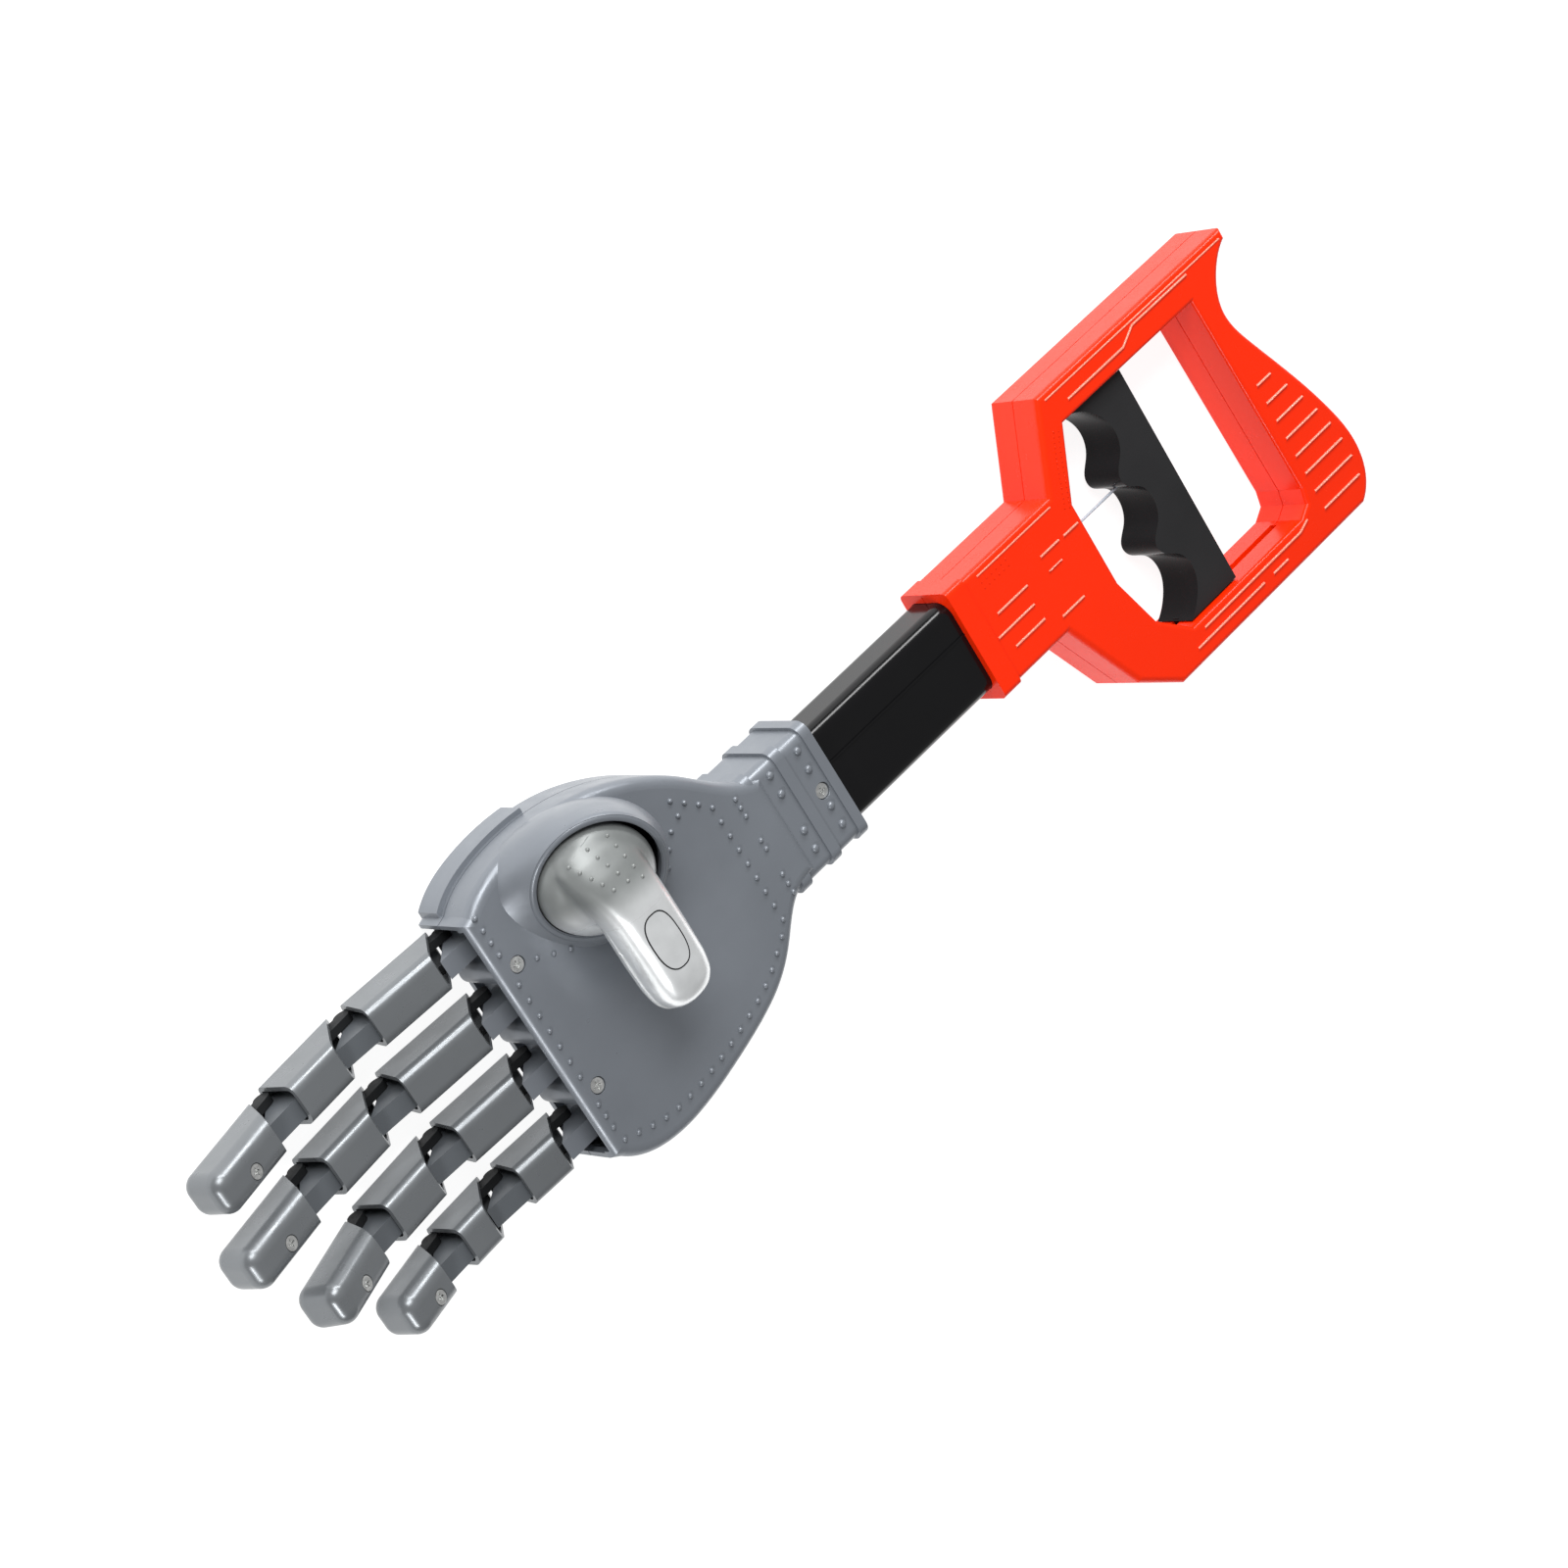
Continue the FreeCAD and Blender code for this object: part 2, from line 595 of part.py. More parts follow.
def make_fingers():
    made = {}
    root_pins = []
    for name, y, tilts, lengths in FINGERS:
        frames = segment_frames(y, tilts, lengths)
        for i, segment in enumerate(SEGMENTS):
            last = i == 2
            if last:
                shell = make_tip_shell(FRONT_START[i], lengths[i])
                made[name + "_tip_screw"] = placed(make_tip_screw(lengths[i]), frames[i])
            else:
                shell = make_shell(FRONT_START[i], lengths[i] - SHELL_END_GAP)
            made[name + "_" + segment + "_shell"] = placed(shell, frames[i])
            made[name + "_" + segment + "_link"] = placed(make_link(lengths[i], last), frames[i])
            pin = placed(make_pin(), frames[i])
            if i == 0:
                root_pins.append(pin)
            else:
                made[name + "_" + segment + "_pin"] = pin
    made["knuckle_pins"] = Part.makeCompound(root_pins)
    return made


# ---- thumb ----
THUMB_HALF_WIDTH = 10.8
THUMB_HALF_HEIGHT = 9.0
THUMB_HEEL = Vector(80.0, -30.5, 33.5)
THUMB_HEEL_RADIUS = 15.4
THUMB_BAR_START = -34.0
THUMB_BAR_END = 7.4
THUMB_BAR_Z = 42.4


def thumb_body():
    """A ball heel that turns into an oval bar towards +Y with a rounded end."""
    heel = Part.makeSphere(THUMB_HEEL_RADIUS, THUMB_HEEL)
    length = THUMB_BAR_END - THUMB_BAR_START
    bar = Part.makeCylinder(THUMB_HALF_WIDTH, length, Vector(0, 0, 0), Y_AXIS)
    bar = bar.makeFillet(THUMB_HALF_WIDTH - 1.0, [edge for edge in bar.Edges if len(edge.Vertexes) == 1])
    flatten = Matrix()
    flatten.scale(1.0, 1.0, THUMB_HALF_HEIGHT / THUMB_HALF_WIDTH)
    bar = bar.transformGeometry(flatten)
    bar.translate(Vector(THUMB_HEEL.x, THUMB_BAR_START, THUMB_BAR_Z))
    return heel.fuse(bar)


def thumb_hollow():
    heel = Part.makeSphere(THUMB_HEEL_RADIUS - 2.0, THUMB_HEEL)
    start = Vector(THUMB_HEEL.x, THUMB_HEEL.y, THUMB_BAR_Z)
    bore = rod(THUMB_HALF_HEIGHT - 2.0, start, Y_AXIS, THUMB_BAR_END - THUMB_HEEL.y - 4.0)
    return heel.fuse(bore)


def make_thumb():
    axis = Vector(THUMB_AXIS).normalize()
    plug = rod(THUMB_PLUG, THUMB_CENTRE - axis * 6.0, axis, 6.6)
    flange = rod(THUMB_PLUG + 0.9, THUMB_CENTRE - axis * 4.4, axis, 1.8)
    solid = thumb_body()
    below = rod(60, THUMB_CENTRE - axis * 40, axis, 40.6)
    head = solid.cut(below)
    hollow = thumb_hollow().cut(below)
    well = rod(THUMB_PLUG - 2.0, THUMB_CENTRE - axis * 7.0, axis, 7.7)
    whole = union([head, plug, flange]).cut([hollow, well])
    upper = Part.Face(Part.makePolygon([
        Vector(30, -80, 36.5), Vector(30, -22, 41.6), Vector(30, -14, 41.6), Vector(30, 40, 41.6),
        Vector(30, 40, 120), Vector(30, -80, 120), Vector(30, -80, 36.5)])).extrude(Vector(100, 0, 0))
    back = whole.cut(upper)
    front = whole.common(upper)
    return front, back


def build():
    made = {}
    made["handle_front_shell"], made["handle_back_shell"] = make_handle()
    made["handle_screws"] = Part.makeCompound(
        [screw(Vector(x, y, 1.4), Z_AXIS, 14.0) for x, y in HANDLE_SCREWS])
    made["trigger_grip"] = make_trigger()
    made["arm_tube"] = make_tube()
    made["pull_cord"] = make_pull_cord()
    made["return_spring"] = make_spring()
    made["spring_seat"] = make_spring_seat()
    made["cord_bushing"] = make_cord_bushing()
    made["cord_ferrule"] = make_cord_ferrule()
    made["cord_yoke"] = make_cord_yoke()
    made["palm_shell"], made["hand_back_shell"] = make_hand()
    made["finger_root_block"] = make_root_block()
    made["palm_screws"] = Part.makeCompound(
        [screw(Vector(x, y, PALM_DEPTH - 0.4), Vector(0, 0, -1), 12.0, 1.24, 2.1, 0.9) for x, y in PALM_SCREWS])
    made["hand_back_screws"] = Part.makeCompound(
        [screw(Vector(x, y, 1.4), Z_AXIS, 14.0) for x, y in BACK_SCREWS])
    made["wrist_screw"] = screw(Vector(4.0, -1.0, 22.4), Vector(0, 0, -1), 7.0)
    made["thumb_front"], made["thumb_back"] = make_thumb()
    made.update(make_fingers())
    return made


os.makedirs("parts", exist_ok=True)
whole_box = FreeCAD.BoundBox()
for node, shape in build().items():
    shape.translate(Vector(-CENTRE_X, -CENTRE_Y, 0))
    whole_box.add(shape.optimalBoundingBox())
    shape.exportStep("parts/" + node + ".step")
    print(node, "valid" if shape.isValid() else "INVALID", len(shape.Solids), round(shape.Volume, 1))
print("box", whole_box)
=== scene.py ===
import json
import math

import bmesh
import bpy
from mathutils import Matrix, Vector
from mathutils.bvhtree import BVHTree


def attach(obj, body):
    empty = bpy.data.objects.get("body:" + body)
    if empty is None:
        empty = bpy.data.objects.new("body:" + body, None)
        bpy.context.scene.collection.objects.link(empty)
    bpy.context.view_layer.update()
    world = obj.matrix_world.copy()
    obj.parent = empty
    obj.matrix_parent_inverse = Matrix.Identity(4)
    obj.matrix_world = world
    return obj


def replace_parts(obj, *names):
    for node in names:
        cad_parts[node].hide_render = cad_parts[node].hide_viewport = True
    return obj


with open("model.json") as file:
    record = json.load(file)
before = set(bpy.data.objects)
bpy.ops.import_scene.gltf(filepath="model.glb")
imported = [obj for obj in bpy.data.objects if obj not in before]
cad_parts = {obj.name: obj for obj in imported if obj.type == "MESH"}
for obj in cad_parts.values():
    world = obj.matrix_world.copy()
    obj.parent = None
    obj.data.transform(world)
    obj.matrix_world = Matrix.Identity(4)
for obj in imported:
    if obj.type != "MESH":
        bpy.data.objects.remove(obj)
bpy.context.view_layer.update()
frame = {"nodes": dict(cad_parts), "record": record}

# ---- sizes, in millimetres of the part's drawing, whose origin is on the arm tube's line ----
MM = 0.001
DRAWING_CENTRE = (1.75, 1.15)
HANDLE_TOP = 21.0
PALM_TOP = 24.0
THUMB_RING_CENTRE = Vector((80.0, -31.8, 34.6))
THUMB_RING_AXIS = Vector((0.40, 0.31, 0.86)).normalized()
THUMB_RING_RADIUS = 17.1
UP = Vector((0, 0, 1))

# ---- finishes: noise scales per metre, and the depth of the moulded grain in metres ----
DRIFT_SCALE = 38.0
GLOSS_SCALE = 160.0
GRAIN_SCALE = 2600.0
FLAKE_SCALE = 5200.0
GRAIN_DEPTH = 0.0002


def at(x, y, z):
    """A drawing point in the row frame, in metres."""
    return Vector(((x - DRAWING_CENTRE[0]) * MM, (y - DRAWING_CENTRE[1]) * MM, z * MM))


# ---------------------------------------------------------------- materials
# every finish by its name
PALETTE = {}


def new_material(name):
    """Puts a node material in the palette and returns its nodes and links."""
    material = bpy.data.materials.new(name)
    material.use_nodes = True
    PALETTE[name] = material
    return material.node_tree.nodes, material.node_tree.links


def noise_of(nodes, links, scale, detail, low, high):
    """A noise of that scale per metre, mapped from its usual range to low..high and not clipped there."""
    coords = nodes.new("ShaderNodeTexCoord")
    noise = nodes.new("ShaderNodeTexNoise")
    noise.inputs["Scale"].default_value = scale
    noise.inputs["Detail"].default_value = detail
    ramp = nodes.new("ShaderNodeMapRange")
    ramp.inputs["From Min"].default_value = 0.3
    ramp.inputs["From Max"].default_value = 0.7
    ramp.inputs["To Min"].default_value = low
    ramp.inputs["To Max"].default_value = high
    ramp.clamp = False
    links.new(coords.outputs["Object"], noise.inputs["Vector"])
    links.new(noise.outputs["Fac"], ramp.inputs["Value"])
    return ramp.outputs["Result"]


def tinted(nodes, links, colour, factor):
    """A colour, or the socket that gives one, times a factor socket."""
    tint = nodes.new("ShaderNodeVectorMath")
    tint.operation = "SCALE"
    if isinstance(colour, tuple):
        tint.inputs[0].default_value = colour
    else:
        links.new(colour, tint.inputs[0])
    links.new(factor, tint.inputs["Scale"])
    return tint.outputs["Vector"]


def add_grain(nodes, links, shader, strength, scale=GRAIN_SCALE):
    """A fine moulded grain."""
    bump = nodes.new("ShaderNodeBump")
    bump.inputs["Strength"].default_value = strength
    bump.inputs["Distance"].default_value = GRAIN_DEPTH
    links.new(noise_of(nodes, links, scale, 2.0, 0.0, 1.0), bump.inputs["Height"])
    links.new(bump.outputs["Normal"], shader.inputs["Normal"])


def flake_factor(nodes, links, flake):
    """A factor that differs a little from one fine cell to the next, like metal flake in plastic."""
    coords = nodes.new("ShaderNodeTexCoord")
    cells = nodes.new("ShaderNodeTexVoronoi")
    cells.inputs["Scale"].default_value = FLAKE_SCALE
    split = nodes.new("ShaderNodeSeparateColor")
    spark = nodes.new("ShaderNodeMapRange")
    spark.inputs["To Min"].default_value = 1.0 - flake
    spark.inputs["To Max"].default_value = 1.0 + flake
    links.new(coords.outputs["Object"], cells.inputs["Vector"])
    links.new(cells.outputs["Color"], split.inputs["Color"])
    links.new(split.outputs["Red"], spark.inputs["Value"])
    return spark.outputs["Result"]


def plastic(name, colour, rough, metallic=0.0, specular=0.5, shade=0.06, grain=0.02,
            grain_scale=GRAIN_SCALE, flake=0.0):
    """Moulded plastic: slow colour drift, uneven gloss and, where asked, a fine grain or metal flake."""
    nodes, links = new_material(name)
    shader = nodes["Principled BSDF"]
    shader.inputs["Metallic"].default_value = metallic
    shader.inputs["Specular IOR Level"].default_value = specular
    drift = noise_of(nodes, links, DRIFT_SCALE, 3.0, 1.0 - shade, 1.0 + shade)
    base = tinted(nodes, links, colour, drift)
    if flake > 0:
        base = tinted(nodes, links, base, flake_factor(nodes, links, flake))
    links.new(base, shader.inputs["Base Color"])
    gloss = noise_of(nodes, links, GLOSS_SCALE, 4.0, rough * 0.85, rough * 1.2)
    links.new(gloss, shader.inputs["Roughness"])
    add_grain(nodes, links, shader, grain, grain_scale)


def metal(name, colour, rough):
    """Plated steel or brass, with faint uneven gloss and a dull film in places."""
    nodes, links = new_material(name)
    shader = nodes["Principled BSDF"]
    shader.inputs["Metallic"].default_value = 1.0
    film = noise_of(nodes, links, 900.0, 3.0, 0.8, 1.1)
    links.new(tinted(nodes, links, colour, film), shader.inputs["Base Color"])
    links.new(noise_of(nodes, links, 700.0, 4.0, rough * 0.7, rough * 1.4), shader.inputs["Roughness"])


def clear_line(name, colour):
    """Half-clear nylon line."""
    nodes, links = new_material(name)
    shader = nodes["Principled BSDF"]
    shader.inputs["Transmission Weight"].default_value = 0.45
    shader.inputs["IOR"].default_value = 1.53
    links.new(noise_of(nodes, links, 600.0, 2.0, 0.15, 0.3), shader.inputs["Roughness"])
    drift = noise_of(nodes, links, 300.0, 2.0, 0.92, 1.05)
    links.new(tinted(nodes, links, colour, drift), shader.inputs["Base Color"])


def two_tone(name, near, far, start, end):
    """A finish that turns from one plastic to another between two drawing positions along +Y."""
    nodes, links = new_material(name)
    shader = nodes["Principled BSDF"]
    coords = nodes.new("ShaderNodeTexCoord")
    split = nodes.new("ShaderNodeSeparateXYZ")
    share = nodes.new("ShaderNodeMapRange")
    share.interpolation_type = "SMOOTHSTEP"
    share.inputs["From Min"].default_value = at(0, start, 0).y
    share.inputs["From Max"].default_value = at(0, end, 0).y
    links.new(coords.outputs["Object"], split.inputs["Vector"])
    links.new(split.outputs["Y"], share.inputs["Value"])
    colour = nodes.new("ShaderNodeMix")
    colour.data_type = "RGBA"
    colour.inputs[6].default_value = (*near["colour"], 1.0)
    colour.inputs[7].default_value = (*far["colour"], 1.0)
    links.new(share.outputs["Result"], colour.inputs["Factor"])
    drift = noise_of(nodes, links, 220.0, 4.0, 0.95, 1.05)
    links.new(tinted(nodes, links, colour.outputs[2], drift), shader.inputs["Base Color"])
    for key, socket in (("metallic", "Metallic"), ("rough", "Roughness")):
        blend = nodes.new("ShaderNodeMix")
        blend.inputs[2].default_value = near[key]
        blend.inputs[3].default_value = far[key]
        links.new(share.outputs["Result"], blend.inputs[0])
        links.new(blend.outputs[0], shader.inputs[socket])
    add_grain(nodes, links, shader, 0.002)


THUMB_HEEL = {"colour": (0.20, 0.212, 0.210), "metallic": 0.25, "rough": 0.38}
THUMB_BLADE = {"colour": (0.90, 0.92, 0.93), "metallic": 0.62, "rough": 0.26}
plastic("orange_plastic", (0.88, 0.024, 0.0004), 0.24, specular=0.24, shade=0.015, grain=0.0)
# a paler orange: painted highlight on the handle's raised lines and rim beads
plastic("orange_painted_highlight", (0.95, 0.19, 0.12), 0.2, specular=0.6, shade=0.03, grain=0.0)
# the grip's upright sides: glossier, and darker as painted shade
plastic("trigger_gloss_painted_shade", (0.005, 0.005, 0.006), 0.26, specular=0.07, shade=0.1, grain=0.0)
plastic("trigger_plastic", (0.024, 0.024, 0.025), 0.48, specular=0.06, shade=0.1, grain=0.10,
        grain_scale=1800.0)
plastic("tube_plastic", (0.0035, 0.0035, 0.004), 0.14, specular=0.30, shade=0.15, grain=0.008)
plastic("hand_plastic", (0.190, 0.207, 0.232), 0.33, metallic=0.30, shade=0.05, grain=0.0)
plastic("finger_plastic", (0.185, 0.197, 0.208), 0.30, metallic=0.50, shade=0.05, grain=0.0)
plastic("link_plastic", (0.088, 0.097, 0.107), 0.38, specular=0.4, grain=0.03)
plastic("inner_plastic", (0.62, 0.62, 0.6), 0.45, shade=0.03)
two_tone("thumb_silver", THUMB_HEEL, THUMB_BLADE, -33.0, -21.0)
plastic("thumb_grey", (0.235, 0.247, 0.243), 0.40, metallic=0.2, specular=0.45, shade=0.05,
        grain=0.04, flake=0.08)
clear_line("cord_nylon", (0.62, 0.68, 0.76))
metal("brass_ferrule", (0.72, 0.50, 0.20), 0.3)
metal("steel", (0.88, 0.89, 0.88), 0.36)
# near-black painted shadow, for the hinge ears, their pins and the nail's outline
plastic("shadow", (0.012, 0.013, 0.014), 0.6, specular=0.2, shade=0.1)

SLOT_OF = {part["node"]: part["material_slot"] for part in frame["record"]["subparts"]}


def paint(piece, look):
    """Gives a mesh one finish of the palette."""
    piece.data.materials.clear()
    piece.data.materials.append(PALETTE[look])


def smooth(piece, angle=math.radians(32)):
    """Smooth shading, with edges sharper than the angle kept."""
    piece.data.shade_smooth()
    piece.data.set_sharp_from_angle(angle=angle)


# the line of each finger, in drawing millimetres
FINGER_ROWS = {"index": -35.5, "middle": -15.5, "ring": 4.5, "pinky": 24.5}

# small moulded radii on the edges that the CAD leaves sharp, in metres
GRIP_ROUNDING = 0.0008
FINGER_ROUNDING = 0.0006
HAND_ROUNDING = 0.0004
ROUNDED_FROM = math.radians(38)


def round_edges(node, width):
    """Rounds the edges of a CAD node that turn by more than ROUNDED_FROM."""
    bevel = node.modifiers.new("moulded_edges", "BEVEL")
    bevel.width = width
    bevel.segments = 2
    bevel.limit_method = "ANGLE"
    bevel.angle_limit = ROUNDED_FROM


for name, node in frame["nodes"].items():
    paint(node, SLOT_OF[name])
    smooth(node)
grip = frame["nodes"]["trigger_grip"]
round_edges(grip, GRIP_ROUNDING)
for name, node in frame["nodes"].items():
    if name.split("_")[0] in FINGER_ROWS and name.endswith("_shell"):
        round_edges(node, FINGER_ROUNDING)
for name in ("hand_back_shell", "palm_shell"):
    round_edges(frame["nodes"][name], HAND_ROUNDING)

# The grip's upright sides, apart from the rear one, are glossier and painted darker than its flat faces,
# as painted shade.
UPRIGHT_BELOW = 0.3
REAR_BELOW = -0.5
grip.data.materials.append(PALETTE["trigger_gloss_painted_shade"])
for face in grip.data.polygons:
    if abs(face.normal.z) < UPRIGHT_BELOW and face.normal.x > REAR_BELOW:
        face.material_index = 1

# The hinge ears sit inside the shells; they and their pins are painted near-black as painted shade, for
# the shade in there.
# What lies between TONGUE_SIDES, measured across the finger from its line, is the plain inner bar.
TONGUE_SIDES = (-2.05, 3.65)
for name, node in frame["nodes"].items():
    finger = name.split("_")[0]
    if name.endswith("_pin") or name == "knuckle_pins":
        paint(node, "shadow")
    if finger in FINGER_ROWS and name.endswith("_link"):
        node.data.materials.append(PALETTE["shadow"])
        middle = at(0, FINGER_ROWS[finger], 0).y
        for face in node.data.polygons:
            across = (face.center.y - middle) / MM
            if not TONGUE_SIDES[0] <= across <= TONGUE_SIDES[1]:
                face.material_index = 1


# ---------------------------------------------------------------- helpers for moulded detail
def piece_from(mesh_tool, name, slot, body, angle=math.radians(40), look=None):
    """Turns a bmesh into a piece that rides on a body, in its slot's finish or in another look."""
    bmesh.ops.recalc_face_normals(mesh_tool, faces=mesh_tool.faces)
    mesh = bpy.data.meshes.new(name)
    mesh_tool.to_mesh(mesh)
    mesh_tool.free()
    piece = bpy.data.objects.new(name, mesh)
    bpy.context.scene.collection.objects.link(piece)
    paint(piece, look or slot)
    smooth(piece, angle)
    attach(piece, body)
    return piece


def frame_on(normal):
    """Two directions that are square to a normal."""
    side = normal.orthogonal().normalized()
    return side, normal.cross(side)


DOME_SINK = 0.35


def add_dome(mesh_tool, centre, normal, radius, height, sides=12, rings=3):
    """A closed low dome, such as a moulded rivet head, sunk a little in its surface."""
    side, other = frame_on(normal)
    loops = []
    for k in range(rings + 1):
        lift = -DOME_SINK * height if k == 0 else height * math.sin(math.pi / 2 * (k - 1) / rings)
        reach = radius if k <= 1 else radius * math.cos(math.pi / 2 * (k - 1) / rings)
        loop = []
        for i in range(sides):
            turn = 2 * math.pi * i / sides
            out = side * math.cos(turn) + other * math.sin(turn)
            loop.append(mesh_tool.verts.new(centre + out * reach * MM + normal * lift * MM))
        loops.append(loop)
    for low, high in zip(loops, loops[1:]):
        for i in range(sides):
            j = (i + 1) % sides
            mesh_tool.faces.new((low[i], low[j], high[j], high[i]))
    top = mesh_tool.verts.new(centre + normal * height * MM)
    for i in range(sides):
        mesh_tool.faces.new((loops[-1][i], loops[-1][(i + 1) % sides], top))
    mesh_tool.faces.new(list(reversed(loops[0])))


# a bead's profile, as shares of its width and height
BEAD_SECTION = (
    (-0.5, -0.4), (-0.5, 0.1), (-0.28, 0.75), (0.0, 1.0), (0.28, 0.75), (0.5, 0.1), (0.5, -0.4),
)


def add_bead(mesh_tool, points, up, width, height):
    """A closed moulded line with a rounded top that follows points on a surface."""
    rings = []
    count = len(points)
    for k, point in enumerate(points):
        before = points[max(k - 1, 0)]
        after = points[min(k + 1, count - 1)]
        along = (after - before).normalized()
        lean = up[k] if isinstance(up, list) else up
        across = along.cross(lean).normalized()
        stretch = 1.0
        if 0 < k < count - 1:
            turn = (points[k + 1] - point).normalized().dot(along)
            stretch = 1.0 / max(turn, 0.5)
        ring = []
        for u, v in BEAD_SECTION:
            place = point + across * (u * width * stretch * MM) + lean * (v * height * MM)
            ring.append(mesh_tool.verts.new(place))
        rings.append(ring)
    for one, two in zip(rings, rings[1:]):
        for i in range(len(BEAD_SECTION)):
            j = (i + 1) % len(BEAD_SECTION)
            mesh_tool.faces.new((one[i], one[j], two[j], two[i]))
    mesh_tool.faces.new(list(reversed(rings[0])))
    mesh_tool.faces.new(rings[-1])


def catmull(points, steps):
    """A smooth line through points."""
    padded = [points[0] * 2 - points[1]] + list(points) + [points[-1] * 2 - points[-2]]
    out = []
    for k in range(1, len(padded) - 2):
        a, b, c, d = padded[k - 1:k + 3]
        for i in range(steps):
            t = i / steps
            out.append(0.5 * ((b * 2) + (c - a) * t + (a * 2 - b * 5 + c * 4 - d) * t * t
                              + (b * 3 - a - c * 3 + d) * t * t * t))
    out.append(points[-1])
    return out


def spaced(line, pitch):
    """Points at about that pitch along a line, both ends included."""
    lengths = [0.0]
    for one, two in zip(line, line[1:]):
        lengths.append(lengths[-1] + (two - one).length)
    count = max(1, round(lengths[-1] / pitch))
    out = []
    k = 0
    for i in range(count + 1):
        target = lengths[-1] * i / count
        while k < len(line) - 2 and lengths[k + 1] < target:
            k += 1
        share = (target - lengths[k]) / max(lengths[k + 1] - lengths[k], 1e-9)
        out.append(line[k].lerp(line[k + 1], min(share, 1.0)))
    return out


# ---------------------------------------------------------------- rivets of the palm and wrist
RIVET_PITCH = 4.7
RIVET_RADIUS = 0.80
RIVET_HEIGHT = 0.78


def plane_line(points, z):
    """Drawing points at one height."""
    return [Vector((x, y, z)) for x, y in points]


# corners of each row of rivets on the palm, and whether the row curves through them
PALM_ROWS = (
    (((35.7, -20.0), (35.7, 17.4)), False),
    (((38.7, -23.4), (45.3, -29.6)), False),
    (((38.8, 20.8), (50.0, 27.4), (64.0, 31.7), (80.0, 34.6), (95.0, 34.9), (109.4, 30.8)), True),
    (((110.2, 26.0), (110.2, 18.4)), False),
    (((110.2, 9.2), (110.2, -21.2)), False),
    (((110.2, -30.9), (110.2, -42.7)), False),
    (((101.8, -23.2), (94.0, -19.3), (87.6, -16.7)), True),
    (((45.6, -25.0), (50.5, -22.6), (56.2, -16.2)), True),
)
rivets = bmesh.new()
for corners, curved in PALM_ROWS:
    line = plane_line(corners, PALM_TOP)
    if curved:
        line = catmull(line, 12)
    for point in spaced(line, RIVET_PITCH):
        add_dome(rivets, at(*point), UP, RIVET_RADIUS, RIVET_HEIGHT)
piece_from(rivets, "palm_rivets", "hand_plastic", "frame")

WRIST_TOP = 23.0
WRIST_RIVET_RADIUS = 1.2
WRIST_RIVET_HEIGHT = 1.0
WRIST_ROWS = {4.4: (-14.6, -8.5, 3.7, 9.8), 15.4: (-14.9, -8.8, 3.4, 9.5)}
SMALL_ROW_X = 28.6
SMALL_ROW = (-17.2, -14.4, -11.6, -3.6, -0.8, 7.8, 10.9, 13.7)
wrist_rivets = bmesh.new()
for x, row in WRIST_ROWS.items():
    for y in row:
        place = at(x, y, WRIST_TOP)
        add_dome(wrist_rivets, place, UP, WRIST_RIVET_RADIUS, WRIST_RIVET_HEIGHT, sides=16, rings=4)
for y in SMALL_ROW:
    add_dome(wrist_rivets, at(SMALL_ROW_X, y, PALM_TOP), UP, RIVET_RADIUS, RIVET_HEIGHT)
piece_from(wrist_rivets, "wrist_rivets", "hand_plastic", "frame")

# ---------------------------------------------------------------- moulded lines of the handle, coloured paler as painted highlight
handle_lines = bmesh.new()
LINE_WIDTH = 0.8
LINE_HEIGHT = 0.42
RIM_WIDTH = 0.6
RIM_HEIGHT = 0.25
SHORT_WIDTH = 0.45


def handle_line(points, width=LINE_WIDTH, height=LINE_HEIGHT):
    """A raised line on the handle's flat face, through drawing points."""
    add_bead(handle_lines, [at(x, y, HANDLE_TOP) for x, y in points], UP, width, height)


handle_line(((-130.0, -34.4), (-155.2, -34.4), (-161.7, -37.6), (-187.0, -37.6)))
# painted highlight: a low pale bead where the flat face meets its rounded rim
handle_line(((-123.0, -38.8), (-203.5, -38.8)), RIM_WIDTH, RIM_HEIGHT)
handle_line(((-74.0, -14.4), (-106.5, -14.4)), RIM_WIDTH, RIM_HEIGHT)
handle_line(((-132.0, 46.0), (-178.0, 46.0), (-182.5, 44.6)))
handle_line(((-126.5, 49.3), (-158.0, 49.3)))
handle_line(((-162.5, 49.3), (-169.5, 49.3)))
# ridges of the palm pad, which reach further out as the pad's edge does, and a little less at the last
PAD_RIDGES = 8
PAD_WIDTH = 0.85
PAD_HEIGHT = 0.5
PAD_INNER = -189.9
PAD_OUTER = -196.3
PAD_SWELL = 11.7
PAD_START = 2.8
PAD_SPREAD = 43.2
for k in range(PAD_RIDGES):
    share = k / (PAD_RIDGES - 1)
    outer = PAD_OUTER - PAD_SWELL * math.sin(min(share * 1.25, 1.0) * math.pi / 2)
    if k == PAD_RIDGES - 1:
        outer += 0.9
    y = PAD_START + PAD_SPREAD * share
    handle_line(((PAD_INNER, y), (outer, y)), PAD_WIDTH, PAD_HEIGHT)
handle_line(((-95.4, -5.4), (-103.5, -5.4)))
handle_line(((-105.6, -5.2), (-112.0, -5.2)))
handle_line(((-95.5, -0.5), (-101.2, -0.5)), SHORT_WIDTH)
handle_line(((-91.8, 12.4), (-101.5, 12.4)))
for start, end, y in ((-73.7, -86.9, -2.0), (-69.9, -85.7, 3.6), (-73.5, -86.3, 9.0)):
    handle_line(((start, y), (end, y)))
# the lines take the paler orange, as painted highlight
piece_from(handle_lines, "handle_lines", "orange_plastic", "frame", look="orange_painted_highlight")

# two rows of dots along the opening's slanted edge, and three short rows on the collar
tiny_bumps = bmesh.new()
DOT_RADIUS = 0.33
DOT_HEIGHT = 0.2
DOT_PITCH = 1.45
SLANTED_EDGE = ((-121.9, -29.4), (-118.6, -23.6), (-115.6, -17.0), (-112.4, -10.4))


def handle_dot(x, y):
    """A small dot on the handle's flat face."""
    add_dome(tiny_bumps, at(x, y, HANDLE_TOP), UP, DOT_RADIUS, DOT_HEIGHT, sides=8, rings=2)


